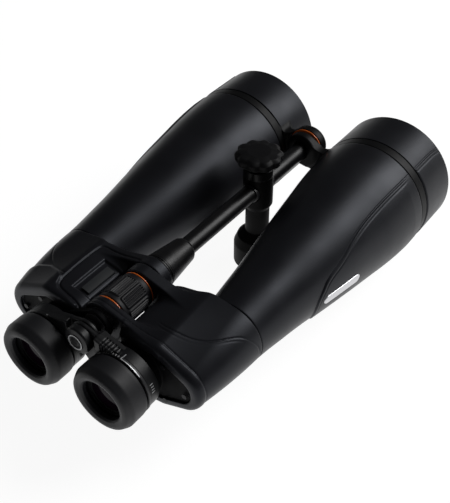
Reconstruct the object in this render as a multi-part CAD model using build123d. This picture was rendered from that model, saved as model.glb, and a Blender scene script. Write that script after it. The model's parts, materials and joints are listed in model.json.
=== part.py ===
from build123d import *
import math
import os

# Large Porro-prism binoculars with a central hinge rod.
# Built on the hinge axis: +Y points to the objectives, +X to the right-hand barrel
# as the user holds it, +Z up. Everything is moved by SHIFT at the end, so that the
# origin is at the bottom centre of the whole object.

# ---- driving dimensions, mm -------------------------------------------------
OBJ_X, OBJ_Z = 63.2, -19.2          # objective axis from the hinge axis, at rest
EYE_X, EYE_Z = 31.0, -21.3          # eyepiece axis from the hinge axis, at rest
HOOD_R = 48.0                       # objective hood outside radius
HOOD_LEN = 38.3
BAND_Y0 = -47.1                     # rear edge of the front bridge band
HOUSE_Y = -229.0                    # front plane of the prism housing
REAR_Y = -288.0                     # rear plane of the prism housing
LENS_R = 41.0                       # objective lens radius (80 mm clear aperture)
MOUTH_R = 44.0                      # inside of the hood in front of the lens cell
SEAT_R = 42.8                       # seat of the lens cell in the hood
ROD_R = 6.75                        # centre rod
AXLE_R = 9.0                        # hinge axle tube inside the rear lugs
CUP_R = 24.3                        # eyecup outside radius
CUP_HOLE_R = 15.3
CUP_Y = -325.0                      # rear plane of the eyecups
WHEEL_Y0, WHEEL_Y1 = -277.1, -247.9 # focus wheel
WHEEL_R = 13.2
POST_Y = -107.0                     # tripod adapter post
FOOT_Z = -75.0                      # underside of the tripod foot
FOOT_R = 18.2
THREAD_R = 3.2                      # 1/4-20 tripod thread, wall at the major radius
FOCUS_IN = 3.0                      # travel of the eyepieces towards the housing
FOCUS_OUT = 6.0                     # travel of the eyepieces away from the housing
EYECUP_LIFT = 8.0
SHIFT = (0, 162.5, 75.0)

OUT = {}


def cyl(r, y0, y1, x=0.0, z=0.0):
    """Solid cylinder along Y."""
    return Plane((x, y0, z), x_dir=(1, 0, 0), z_dir=(0, 1, 0)) * Cylinder(
        r, y1 - y0, align=(Align.CENTER, Align.CENTER, Align.MIN)
    )


def tube(ro, ri, y0, y1, x=0.0, z=0.0):
    return cyl(ro, y0, y1, x, z) - cyl(ri, y0 - 1, y1 + 1, x, z)


def vcyl(r, z0, z1, x=0.0, y=0.0):
    """Solid cylinder along Z."""
    return Pos(x, y, z0) * Cylinder(r, z1 - z0, align=(Align.CENTER, Align.CENTER, Align.MIN))


def block(x0, x1, y0, y1, z0, z1):
    return Pos((x0 + x1) / 2, (y0 + y1) / 2, (z0 + z1) / 2) * Box(x1 - x0, y1 - y0, z1 - z0)


def rev(points, x=0.0, z=0.0):
    """Solid of revolution about the Y-parallel axis through (x, z); points are (r, y)."""
    pts = [Vector(r, y, 0) for r, y in points]
    edges = [Edge.make_line(pts[i], pts[(i + 1) % len(pts)]) for i in range(len(pts))]
    face = Face(Wire(edges))
    return Pos(x, 0, z) * revolve(face, axis=Axis.Y)


def hull_wire(circles, y):
    """Closed outline round circles (x, z, r), listed in order round the outline."""
    n = len(circles)
    tangents = []
    for i in range(n):
        xi, zi, ri = circles[i]
        xj, zj, rj = circles[(i + 1) % n]
        dx, dz = xj - xi, zj - zi
        length = math.hypot(dx, dz)
        ux, uz = dx / length, dz / length
        k = (ri - rj) / length
        m = math.sqrt(1 - k * k)
        nx, nz = ux * k + uz * m, uz * k - ux * m
        tangents.append(((xi + ri * nx, zi + ri * nz), (xj + rj * nx, zj + rj * nz), (nx, nz)))
    edges = []
    for i in range(n):
        p, q, _ = tangents[i]
        prev = tangents[i - 1]
        x, z, r = circles[i]
        a0 = math.atan2(prev[2][1], prev[2][0])
        a1 = math.atan2(tangents[i][2][1], tangents[i][2][0])
        while a1 < a0:
            a1 += 2 * math.pi
        am = (a0 + a1) / 2
        mid = (x + r * math.cos(am), z + r * math.sin(am))
        edges.append(
            Edge.make_three_point_arc(
                Vector(prev[1][0], y, prev[1][1]), Vector(mid[0], y, mid[1]), Vector(p[0], y, p[1])
            )
        )
        edges.append(Edge.make_line(Vector(p[0], y, p[1]), Vector(q[0], y, q[1])))
    return Wire(edges)


def hull_loft(sections):
    """Ruled solid through hull outlines; sections are (y, circles)."""
    return Part() + Solid.make_loft([hull_wire(c, y) for y, c in sections], ruled=True)


def hull_plate(circles, y0, y1):
    return Part() + Solid.extrude(Face(hull_wire(circles, y0)), Vector(0, y1 - y0, 0))


def grow(sections, d):
    return [(y, [(x, z, r + d) for x, z, r in c]) for y, c in sections]


def put(name, shape):
    OUT[name] = shape


def both(name, shape, left_name=None):
    put("right_" + name, shape)
    put("left_" + name, mirror(shape, about=Plane.YZ))


def mir(shape):
    return mirror(shape, about=Plane.YZ)


# ---- prism light path -------------------------------------------------------
# O is the objective axis, E the eyepiece axis, M the axis between the two prisms.
O = (OBJ_X, OBJ_Z)
E = (EYE_X, EYE_Z)
MID = ((O[0] + E[0]) / 2, (O[1] + E[1]) / 2)
D = (E[0] - O[0], E[1] - O[1])
M = (MID[0] + 0.5 * D[1] * -1, MID[1] + 0.5 * D[0])   # lower intermediate axis
LEG = math.hypot(M[0] - O[0], M[1] - O[1])
PRISM_R = 9.2

# ---- prisms and their shelf -------------------------------------------------
SHELF_Y1, SHELF_Y0 = -258.6, -261.4


def stadium(a, b, r, y0, y1):
    return hull_plate([(a[0], a[1], r), (b[0], b[1], r)], y0, y1)


def prism(a, b, y_h, sign):
    """Right-angle prism with rounded ends; the long face lies at y_h."""
    cx, cz = (a[0] + b[0]) / 2, (a[1] + b[1]) / 2
    ux, uz = (b[0] - a[0]) / LEG, (b[1] - a[1]) / LEG
    pts = [
        Vector(cx - ux * LEG, y_h, cz - uz * LEG),
        Vector(cx + ux * LEG, y_h, cz + uz * LEG),
        Vector(cx + ux * 1.2, y_h + sign * (LEG - 1.2), cz + uz * 1.2),
        Vector(cx - ux * 1.2, y_h + sign * (LEG - 1.2), cz - uz * 1.2),
    ]
    wire = Wire([Edge.make_line(pts[i], pts[(i + 1) % 4]) for i in range(4)])
    wx, wz = -uz, ux
    body = Part() + Solid.extrude(Face(wire).moved(Location((-wx * 12, 0, -wz * 12))), Vector(wx * 24, 0, wz * 24))
    lo, hi = sorted((y_h, y_h + sign * LEG))
    return body & stadium(a, b, PRISM_R, lo, hi)


# ---- prism housing, armour and rear cover -----------------------------------
TOP = (46.0, -5.1)                  # upper shoulder of the housing
# outline circles in order: eyepiece, lower shoulder, objective, upper shoulder
skin = [
    (HOUSE_Y, [(31.0, -21.3, 25.5), (48.2, -36.3, 13.6), (63.2, -19.2, 24.2), (46.0, -5.1, 13.0)]),
    (-262.0, [(31.0, -21.3, 25.7), (48.2, -36.0, 13.4), (63.4, -19.9, 21.2), (45.5, -5.2, 12.4)]),
    (REAR_Y, [(31.0, -21.3, 25.3), (48.2, -33.0, 11.5), (63.1, -21.6, 16.8), (44.4, -5.2, 10.5)]),
]
relief = cyl(17.0, REAR_Y - 1, HOUSE_Y + 1)          # space for lugs and focus wheel
skin_out = hull_loft(skin)
cast_out = hull_loft(grow(skin, -2.0))
cav = grow(skin, -4.4)
y_a, y_b, y_c = HOUSE_Y - 3.0, -262.0, REAR_Y + 3.0


def section_at(secs, y):
    for (ya, ca), (yb, cb) in zip(secs[:-1], secs[1:]):
        if yb <= y <= ya:
            t = (y - ya) / (yb - ya)
            return [tuple(p + t * (q - p) for p, q in zip(a, b)) for a, b in zip(ca, cb)]


cavity = hull_loft([(y_a, section_at(cav, y_a)), (y_b, section_at(cav, y_b)), (y_c, section_at(cav, y_c))])
rear_slab = block(-20, 120, y_c, REAR_Y + 60, -90, 60)
cast = (cast_out & block(-20, 120, y_c, HOUSE_Y, -90, 60)) - cavity - cyl(20.0, HOUSE_Y - 5, HOUSE_Y + 1, *O) - relief
inner_wall = tube(19.4, 17.0, y_c, HOUSE_Y) & cast_out & block(-20, 120, y_c, HOUSE_Y, -90, 60)
cast = cast + (inner_wall - cyl(20.0, HOUSE_Y - 5, HOUSE_Y + 1, *O))


def lug(y0, y1, r=14.0):
    return hull_plate([(0, 0, r), (36.0, -9.0, 13.0)], y0, y1)


lug_cut = cavity + cyl(20.0, HOUSE_Y - 5, HOUSE_Y + 1, *O)
inner_limit = skin_out + cyl(30.0, REAR_Y, HOUSE_Y)
right_lugs = (lug(-247.2, -238.2) + lug(-285.0, -277.6)) - lug_cut
left_front = lug(-237.9, -229.2) - lug_cut
left_rear = (
    hull_plate([(0, 0, 11.2), (24.0, -12.0, 9.0)], -290.8, -286.4)
)
shell_cut = tube(60, 19.4, REAR_Y - 4, HOUSE_Y + 2)
trim = block(-20, 44, REAR_Y - 4, HOUSE_Y, -40, 20)
right_cast = cast + (right_lugs & trim)
left_cast = cast + (left_front & trim)
axle_hole = cyl(AXLE_R, REAR_Y - 5, HOUSE_Y + 1)
axle_run = cyl(AXLE_R + 0.05, REAR_Y - 5, HOUSE_Y + 1)

# rear cover: plate with the eyepiece guide boss
cover = (cast_out & block(-20, 120, REAR_Y, y_c, -90, 60)) - cyl(17.0, REAR_Y - 1, y_c + 1)
cover = cover + cyl(19.5, -297.0, y_c, *E)
cover = cover - cyl(17.0, -300.0, y_c + 1, *E)
left_cover = cover + (left_rear - cyl(19.5, -300, -280, *E))
left_cover = left_cover - axle_run
# the relief for the wheel also clears the guide boss flange
armour = skin_out - cast_out - relief

front_prism = prism(M, E, SHELF_Y1, 1)
rear_prism = prism(O, M, SHELF_Y0, -1)
# pockets that clear the prisms by 0.4 mm
pockets = stadium(M, E, PRISM_R + 0.4, SHELF_Y1, SHELF_Y1 + LEG + 0.4) + stadium(O, M, PRISM_R + 0.4, SHELF_Y0 - LEG - 0.4, SHELF_Y0)
right_cast = right_cast - axle_hole - pockets
left_cast = left_cast - axle_run - pockets
put("right_prism_housing", right_cast)
put("left_prism_housing", mir(left_cast))
right_armour = armour - right_lugs
left_armour = armour - left_front - left_rear
put("right_housing_armour", right_armour)
window = block(18.0, 33.2, -275.4, -243.8, -12, 30)
put("left_housing_armour", mir(left_armour - window))
put("right_rear_cover", cover)
put("left_rear_cover", mir(left_cover))
# accessory rail plate in its recess on the left-hand housing
put("accessory_plate", mir((skin_out - cast_out - relief) & block(21.6, 28.0, -272.8, -247.2, -12, 30)))

# prisms and their shelf
both("front_prism", front_prism)
both("rear_prism", rear_prism)
shelf = (cavity & block(-20, 120, SHELF_Y0, SHELF_Y1, -90, 60)) - cyl(8.4, -270, -250, *O) - cyl(8.4, -270, -250, *M) - cyl(8.4, -270, -250, *E)
shelf = shelf - relief - tube(19.4, 15.0, -270, -250)
both("prism_shelf", shelf)

# ---- barrels ----------------------------------------------------------------
BARREL = [
    (24.2, -229.0), (25.2, -219.0), (27.0, -205.0), (29.8, -184.0), (34.6, -154.0),
    (38.9, -126.0), (42.6, -100.0), (44.5, -87.0), (46.2, -72.0), (47.2, -58.0), (47.6, -47.1),
]
arm = [(r, y) for r, y in BARREL]
inner = [(r - 2.2, y) for r, y in reversed(BARREL)]
both("barrel_armour", rev(arm + inner, *O))
metal = [(r - 2.2, y) for r, y in BARREL]
metal_in = [(r - 4.2, y) for r, y in reversed(BARREL)]
both("barrel_tube", rev(metal + metal_in, *O))

# front bridge band and knuckles
band = tube(47.8, 44.4, BAND_Y0, -HOOD_LEN, *O)
hood_space = cyl(HOOD_R, -HOOD_LEN, 1, *O)
band_space = cyl(44.4, -60, 1, *O)
web_r = hull_plate([(0, 0, 9.5), (22.0, -6.7, 9.8)], -47.0, -39.0)
right_arm = band + ((cyl(15.0, -47.0, -39.0) + web_r) - band_space) - cyl(ROD_R, -60, 0)
web_l = hull_plate([(0, 0, 9.5), (22.0, -6.7, 9.8)], -47.0, -31.0) - cyl(15.5, -48, -37.5)
left_arm = band + ((cyl(15.0, -37.5, -31.0) + web_l) - band_space - hood_space) - cyl(ROD_R + 0.05, -60, 0)
put("right_front_bridge", right_arm)
put("left_front_bridge", mir(left_arm))

# objective end: hood, cell, doublet and retaining ring
hood = rev([(HOOD_R, -HOOD_LEN), (HOOD_R, -2.2), (47.3, -0.7), (46.0, 0.0), (44.6, -0.4), (MOUTH_R, -1.4),
            (MOUTH_R, -14.0), (SEAT_R, -14.0), (SEAT_R, -HOOD_LEN)], *O)
both("objective_hood", hood)
both("objective_cell", rev([(SEAT_R, -33.0), (SEAT_R, -14.0), (40.0, -14.0), (40.0, -19.4), (41.1, -19.4), (41.1, -28.5), (39.0, -28.5), (39.0, -33.0)], *O))


def lens(r, y0, y1, s0, s1, axis):
    """Lens between edge planes y0 < y1 whose faces bulge by s0 backwards and s1 forwards."""
    def arc(ya, s):
        return Edge.make_three_point_arc(Vector(0, ya + s, 0), Vector(r * 0.5, ya + s * 0.75, 0), Vector(r, ya, 0))
    edges = [
        arc(y1, s1) if s1 else Edge.make_line(Vector(0, y1, 0), Vector(r, y1, 0)),
        Edge.make_line(Vector(r, y1, 0), Vector(r, y0, 0)),
        arc(y0, -s0) if s0 else Edge.make_line(Vector(0, y0, 0), Vector(r, y0, 0)),
        Edge.make_line(Vector(0, y0 - s0, 0), Vector(0, y1 + s1, 0)),
    ]
    return Pos(axis[0], 0, axis[1]) * revolve(Face(Wire(edges)), axis=Axis.Y)


both("objective_crown_lens", lens(LENS_R, -24.0, -19.5, 2.2, 2.4, O))
both("objective_flint_lens", lens(LENS_R, -28.4, -24.1, 0.0, -2.3, O))

# ---- centre rod, axle, collar, hub -----------------------------------------
PIN_Y = -260.8                      # drive pin of the focus screw at rest
axle = tube(AXLE_R, 5.3, -291.2, -228.9)
axle = axle - block(-1.75, 1.75, PIN_Y - 1.5 - FOCUS_OUT - 0.3, PIN_Y + 1.5 + FOCUS_IN + 0.3, -12, 12)
put("hinge_axle", axle)
put("centre_rod", cyl(ROD_R, -228.9, -30.0))
put("cone_collar", rev([(13.0, -228.8), (13.0, -226.4), (12.5, -226.0), (9.4, -199.2), (8.4, -197.2), (ROD_R, -197.2), (ROD_R, -228.8)]))
put("hub_ring", tube(15.2, ROD_R, -39.0, -37.6))
put("hub_cap", rev([(0, -25.6), (5.0, -25.8), (10.0, -26.9), (13.2, -28.8), (14.6, -30.9), (ROD_R, -30.9), (ROD_R, -30.0), (0, -30.0)]))

# ---- focus wheel ------------------------------------------------------------
wheel = rev([(WHEEL_R - 1.2, WHEEL_Y0 + 1.3), (WHEEL_R, WHEEL_Y0 + 2.2), (WHEEL_R, WHEEL_Y1 - 2.2), (WHEEL_R - 1.2, WHEEL_Y1 - 1.3),
             (AXLE_R + 0.1, WHEEL_Y1 - 1.3), (AXLE_R + 0.1, -252.5), (11.2, -252.5), (11.2, -269.0), (AXLE_R + 0.1, -269.0), (AXLE_R + 0.1, WHEEL_Y0 + 1.3)])
put("focus_wheel", wheel)
pads = None
for i in range(8):
    a = i * 45.0
    pad = (tube(14.0, WHEEL_R, WHEEL_Y0 + 3.6, WHEEL_Y1 - 3.6) & Rot(0, a, 0) * block(-4.0, 4.0, WHEEL_Y0 + 3.6, WHEEL_Y1 - 3.6, 8, 16))
    pads = pad if pads is None else pads + pad
put("focus_wheel_pads", pads)
put("focus_wheel_rings", tube(12.9, AXLE_R + 0.1, WHEEL_Y0, WHEEL_Y0 + 1.3) + tube(12.9, AXLE_R + 0.1, WHEEL_Y1 - 1.3, WHEEL_Y1))

# ---- eyepiece carriage ------------------------------------------------------
screw = cyl(5.1, -303.0, -244.0)
pin = Pos(0, PIN_Y, 0) * Cylinder(1.5, 21.6)
put("focus_screw", screw + pin)
put("centre_cap", rev([(0, -309.6), (5.6, -309.6), (6.6, -309.0), (9.2, -308.6), (10.0, -307.6), (10.0, -303.0), (0, -303.0)]))
# each arm is thin where it shares the screw with the other one, and thick from there to its sleeve
arm_outline = [(0, 0, 10.3), (EYE_X, EYE_Z, 23.4)]
arm_r = hull_plate(arm_outline, -302.6, -299.8) + (hull_plate(arm_outline, -305.6, -294.6) & block(12.0, 60, -310, -290, -60, 20))
arm_r = arm_r - cyl(22.9, -302.7, -290, *E) - cyl(24.5, -310, -302.7, *E)
put("right_bridge_arm", arm_r - cyl(5.1, -310, -290))
arm_l = hull_plate(arm_outline, -299.4, -296.6) + (hull_plate(arm_outline, -304.4, -296.6) & block(12.0, 60, -310, -290, -60, 20))
arm_l = arm_l - cyl(22.9, -302.6, -290, *E) - cyl(23.4, -310, -302.6, *E)
put("left_bridge_arm", mir(arm_l - cyl(5.15, -310, -290)))
sleeve = tube(22.9, 19.8, -302.6, -294.2, *E)
put("right_ocular_sleeve", sleeve)
put("left_ocular_sleeve", mir(sleeve + tube(23.4, 19.6, -305.0, -302.6, *E)))
put("dioptre_ring", tube(23.4, 19.8, -305.0, -302.9, *E))

# ocular: lens barrel, seat tube, lenses
ocular = rev([
    (16.6, -289.0), (16.6, -304.4), (19.6, -304.4), (19.6, -318.0), (14.4, -318.0), (14.4, -316.6),
    (13.0, -316.6), (13.0, -311.0), (12.0, -309.0), (12.0, -298.0), (14.0, -298.0), (14.0, -289.0),
], *E)
both("ocular_barrel", ocular)
both("eye_lens", lens(12.95, -316.4, -312.0, 1.2, 0.6, E))
both("field_lens", lens(13.95, -297.6, -294.6, 0.3, 0.9, E))

# twist-up eyecup and the glide ring that lifts it
both("eyecup_guide", tube(21.0, 19.9, -310.0, -307.6, *E))
cup = rev([
    (CUP_R - 0.3, -306.6), (CUP_R, -308.0), (CUP_R, -319.6), (23.9, -321.8), (22.8, -323.6), (21.2, -324.7), (19.4, CUP_Y),
    (17.6, -324.9), (16.2, -324.3), (CUP_HOLE_R, -323.3), (CUP_HOLE_R, -319.4), (21.3, -319.4), (21.3, -306.6),
], *E)
both("eyecup", cup)

# badge on the right-hand barrel
BADGE_Y0, BADGE_Y1 = -166.6, -127.6
r_of = lambda y: 24.2 if y < -229 else next(
    (ra + (rb - ra) * (y - ya) / (yb - ya) for (ra, ya), (rb, yb) in zip(BARREL[:-1], BARREL[1:]) if ya <= y <= yb), 47.6)
badge_shell = rev([(r_of(BADGE_Y0) + 0.8, BADGE_Y0), (r_of(-154.0) + 0.8, -154.0), (r_of(BADGE_Y1) + 0.8, BADGE_Y1),
                   (r_of(BADGE_Y1), BADGE_Y1), (r_of(-154.0), -154.0), (r_of(BADGE_Y0), BADGE_Y0)], *O)
bar_len = BADGE_Y1 - BADGE_Y0
wedge = Pos(OBJ_X, (BADGE_Y0 + BADGE_Y1) / 2, OBJ_Z) * Rot(0, 4.6, 0) * Pos(38, 0, 0) * Box(30, bar_len, 7.2)
put("right_badge", badge_shell & wedge)

# ---- tripod adapter ---------------------------------------------------------
body = vcyl(11.6, -14.0, 19.4, 0, POST_Y)
body = body + Pos(0, POST_Y, -18.0) * Cone(9.4, 11.6, 4.0, align=(Align.CENTER, Align.CENTER, Align.MIN))
body = body + vcyl(9.4, -41.0, -18.0, 0, POST_Y)
body = body + Pos(0, POST_Y, -46.0) * Cone(15.5, 9.4, 6.0, align=(Align.CENTER, Align.CENTER, Align.MIN))
body = body + Pos(0, POST_Y, -53.0) * Cone(FOOT_R, 15.5, 7.0, align=(Align.CENTER, Align.CENTER, Align.MIN))
body = body + vcyl(FOOT_R, -71.0, -53.0, 0, POST_Y)
body = body + Pos(0, POST_Y, FOOT_Z) * Cone(15.0, FOOT_R, 4.0, align=(Align.CENTER, Align.CENTER, Align.MIN))
body = body - cyl(7.6, POST_Y - 20, POST_Y + 20) - vcyl(4.1, 0, 20, 0, POST_Y) - vcyl(5.2, FOOT_Z - 1, FOOT_Z + 13.0, 0, POST_Y)
put("tripod_adapter", body)
put("adapter_bush", tube(7.55, ROD_R + 0.05, POST_Y - 12.2, POST_Y + 12.2))
put("tripod_insert", (vcyl(5.2, FOOT_Z, FOOT_Z + 13.0, 0, POST_Y) - vcyl(THREAD_R, FOOT_Z - 1, FOOT_Z + 12.0, 0, POST_Y)))
put("clamp_screw", vcyl(4.0, 7.9, 28.0, 0, POST_Y))
knob = Pos(0, POST_Y, 20.4) * Cone(9.0, 12.5, 3.6, align=(Align.CENTER, Align.CENTER, Align.MIN))
knob = knob + vcyl(16.9, 24.0, 31.6, 0, POST_Y)
for i in range(10):
    a = math.radians(i * 36)
    knob = knob + vcyl(3.4, 24.0, 31.6, 15.2 * math.cos(a), POST_Y + 15.2 * math.sin(a))
knob = knob + Pos(0, POST_Y, 31.6) * Cone(16.4, 12.0, 1.4, align=(Align.CENTER, Align.CENTER, Align.MIN))
knob = knob - vcyl(4.0, 15, 28.0, 0, POST_Y)
put("lock_knob", knob)

# ---- fasteners --------------------------------------------------------------
screws = None
for x, z in ((52.5, -8.0), (69.0, -24.0), (53.0, -38.5)):
    one = cyl(1.9, -288.7, REAR_Y, x, z)
    screws = one if screws is None else screws + one
both("cover_screws", screws)

os.makedirs("parts", exist_ok=True)
for name, shape in OUT.items():
    solids = shape.solids()
    moved = [s.moved(Location(SHIFT)) for s in solids]
    item = moved[0] if len(moved) == 1 else Compound(children=moved)
    export_step(item, f"parts/{name}.step")
    print(name, len(solids), round(sum(s.volume for s in solids)))
print(len(OUT), "nodes")
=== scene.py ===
import json
import math

import bpy
import numpy as np
from mathutils import Matrix, Vector


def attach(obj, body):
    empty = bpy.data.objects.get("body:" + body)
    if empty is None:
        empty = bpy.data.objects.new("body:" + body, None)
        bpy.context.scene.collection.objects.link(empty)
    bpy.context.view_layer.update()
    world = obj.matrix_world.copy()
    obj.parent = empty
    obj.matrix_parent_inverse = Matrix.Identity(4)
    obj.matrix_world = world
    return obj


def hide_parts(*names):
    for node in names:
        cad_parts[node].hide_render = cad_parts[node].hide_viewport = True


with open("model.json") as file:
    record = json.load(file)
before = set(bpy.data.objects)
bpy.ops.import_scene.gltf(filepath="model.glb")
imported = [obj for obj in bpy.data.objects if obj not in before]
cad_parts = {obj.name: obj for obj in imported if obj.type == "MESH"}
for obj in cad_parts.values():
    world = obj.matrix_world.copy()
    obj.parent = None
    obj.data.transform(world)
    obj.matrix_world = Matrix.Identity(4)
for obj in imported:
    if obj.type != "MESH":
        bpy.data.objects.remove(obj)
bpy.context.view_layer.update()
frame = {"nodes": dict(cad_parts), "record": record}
scene = bpy.context.scene

# The object is described in millimetres on its hinge axis, and SHIFT moves it to the row frame.
SHIFT = np.array([0.0, 162.5, 75.0])
OX, OZ = 63.2, -19.2
EX, EZ = 31.0, -21.3

# ---- camera, light and floor ---------------------------------------------------
AZ, EL, ROLL = math.radians(35.941), math.radians(40.546), math.radians(0.068)
back = Vector((math.sin(AZ) * math.cos(EL), -math.cos(AZ) * math.cos(EL), math.sin(EL)))
right = Vector((math.cos(AZ), math.sin(AZ), 0.0))
up = back.cross(right)
cam_data = bpy.data.cameras.new("camera")
cam_data.lens = 63.48
cam_data.sensor_width = 36.0
cam = bpy.data.objects.new("camera", cam_data)
scene.collection.objects.link(cam)
turn = Matrix((right, up, back)).transposed().to_4x4()
cam.matrix_world = Matrix.Translation(Vector((0.300719, -0.402399, 0.47762))) @ turn
cam_data.clip_start, cam_data.clip_end = 0.01, 50.0
scene.camera = cam

world = bpy.data.worlds.new("studio")
scene.world = world
world.use_nodes = True
world.node_tree.nodes["Background"].inputs["Color"].default_value = (1.0, 1.0, 1.0, 1.0)
world.node_tree.nodes["Background"].inputs["Strength"].default_value = 0.07


def area(name, at, aim, size, power, size_y=None):
    light = bpy.data.lights.new(name, "AREA")
    light.energy = power
    light.shape = "RECTANGLE" if size_y else "SQUARE"
    light.size = size
    if size_y:
        light.size_y = size_y
    o = bpy.data.objects.new(name, light)
    scene.collection.objects.link(o)
    o.location = at
    o.rotation_mode = "QUATERNION"
    o.rotation_quaternion = (Vector(aim) - Vector(at)).to_track_quat("-Z", "Y")
    return o


area("softbox", (0.99, 1.35, 1.48), (0.0, 0.0, 0.05), 1.1, 36.0, 1.4)

me = bpy.data.meshes.new("floor")
me.from_pydata([(-6, -6, 0), (6, -6, 0), (6, 6, 0), (-6, 6, 0)], [], [(0, 1, 2, 3)])
floor = bpy.data.objects.new("floor", me)
scene.collection.objects.link(floor)
fm = bpy.data.materials.new("floor")
fm.use_nodes = True
fb = fm.node_tree.nodes["Principled BSDF"]
fb.inputs["Base Color"].default_value = (0.15, 0.15, 0.15, 1)
fb.inputs["Roughness"].default_value = 0.9
fb.inputs["Emission Color"].default_value = (1, 1, 1, 1)
fb.inputs["Emission Strength"].default_value = 0.93
me.materials.append(fm)
scene.view_settings.view_transform = "Standard"


# ---- materials -------------------------------------------------------------------
def material(name, color, rough, metallic=0.0, rough_var=0.06, color_var=0.25, grain=0.35, bump=0.1,
             grain_kind="noise", depth=0.00006, smudge=0.02, specular=0.5, coat=0.0, coat_rough=0.2,
             sheen=0.0, streak=None, transmission=0.0, ior=1.5, tint=(1.0, 1.0, 1.0, 1)):
    """Procedural finish: broad tone and gloss variation, faint smudges, and a fine surface grain (mm)."""
    m = bpy.data.materials.new(name)
    m.use_nodes = True
    nt = m.node_tree
    b = nt.nodes["Principled BSDF"]
    N, L = nt.nodes.new, nt.links.new
    tc = N("ShaderNodeTexCoord")
    coord = tc.outputs["Object"]
    if streak:
        mp = N("ShaderNodeMapping")
        mp.inputs["Scale"].default_value = streak
        L(coord, mp.inputs["Vector"])
        streaked = mp.outputs["Vector"]
    else:
        streaked = coord
    broad = N("ShaderNodeTexNoise")
    broad.inputs["Scale"].default_value = 1.0 / smudge
    broad.inputs["Detail"].default_value = 4.0
    L(coord, broad.inputs["Vector"])
    fine = N("ShaderNodeTexNoise")
    fine.inputs["Scale"].default_value = 1000.0 / grain
    fine.inputs["Detail"].default_value = 2.0
    L(streaked, fine.inputs["Vector"])
    ramp = N("ShaderNodeMapRange")
    ramp.inputs["From Min"].default_value = 0.3
    ramp.inputs["From Max"].default_value = 0.7
    ramp.inputs["To Min"].default_value = rough - rough_var
    ramp.inputs["To Max"].default_value = rough + rough_var
    L(broad.outputs["Fac"], ramp.inputs["Value"])
    add = N("ShaderNodeMath")
    add.operation = "MULTIPLY_ADD"
    L(fine.outputs["Fac"], add.inputs[0])
    add.inputs[1].default_value = rough_var * 0.6
    L(ramp.outputs["Result"], add.inputs[2])
    L(add.outputs["Value"], b.inputs["Roughness"])
    mix = N("ShaderNodeMix")
    mix.data_type = "RGBA"
    lo = [c * (1 - color_var) for c in color]
    hi = [min(1.0, c * (1 + color_var)) for c in color]
    mix.inputs["A"].default_value = (*lo, 1)
    mix.inputs["B"].default_value = (*hi, 1)
    both = N("ShaderNodeMath")
    both.operation = "MULTIPLY_ADD"
    L(fine.outputs["Fac"], both.inputs[0])
    both.inputs[1].default_value = 0.45
    half = N("ShaderNodeMath")
    half.operation = "MULTIPLY"
    L(broad.outputs["Fac"], half.inputs[0])
    half.inputs[1].default_value = 0.55
    L(half.outputs["Value"], both.inputs[2])
    L(both.outputs["Value"], mix.inputs["Factor"])
    L(mix.outputs["Result"], b.inputs["Base Color"])
    if bump:
        bp = N("ShaderNodeBump")
        bp.inputs["Strength"].default_value = bump
        bp.inputs["Distance"].default_value = depth
        if grain_kind == "pebble":
            v = N("ShaderNodeTexVoronoi")
            v.inputs["Scale"].default_value = 1000.0 / (grain * 1.6)
            L(coord, v.inputs["Vector"])
            s = N("ShaderNodeMath")
            s.operation = "MULTIPLY_ADD"
            L(v.outputs["Distance"], s.inputs[0])
            s.inputs[1].default_value = -0.8
            L(fine.outputs["Fac"], s.inputs[2])
            L(s.outputs["Value"], bp.inputs["Height"])
        else:
            L(fine.outputs["Fac"], bp.inputs["Height"])
        L(bp.outputs["Normal"], b.inputs["Normal"])
    b.inputs["Metallic"].default_value = metallic
    b.inputs["Specular IOR Level"].default_value = specular
    b.inputs["IOR"].default_value = ior
    b.inputs["Specular Tint"].default_value = tint
    b.inputs["Coat Weight"].default_value = coat
    b.inputs["Coat Roughness"].default_value = coat_rough
    b.inputs["Sheen Weight"].default_value = sheen
    b.inputs["Transmission Weight"].default_value = transmission
    return m


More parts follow.
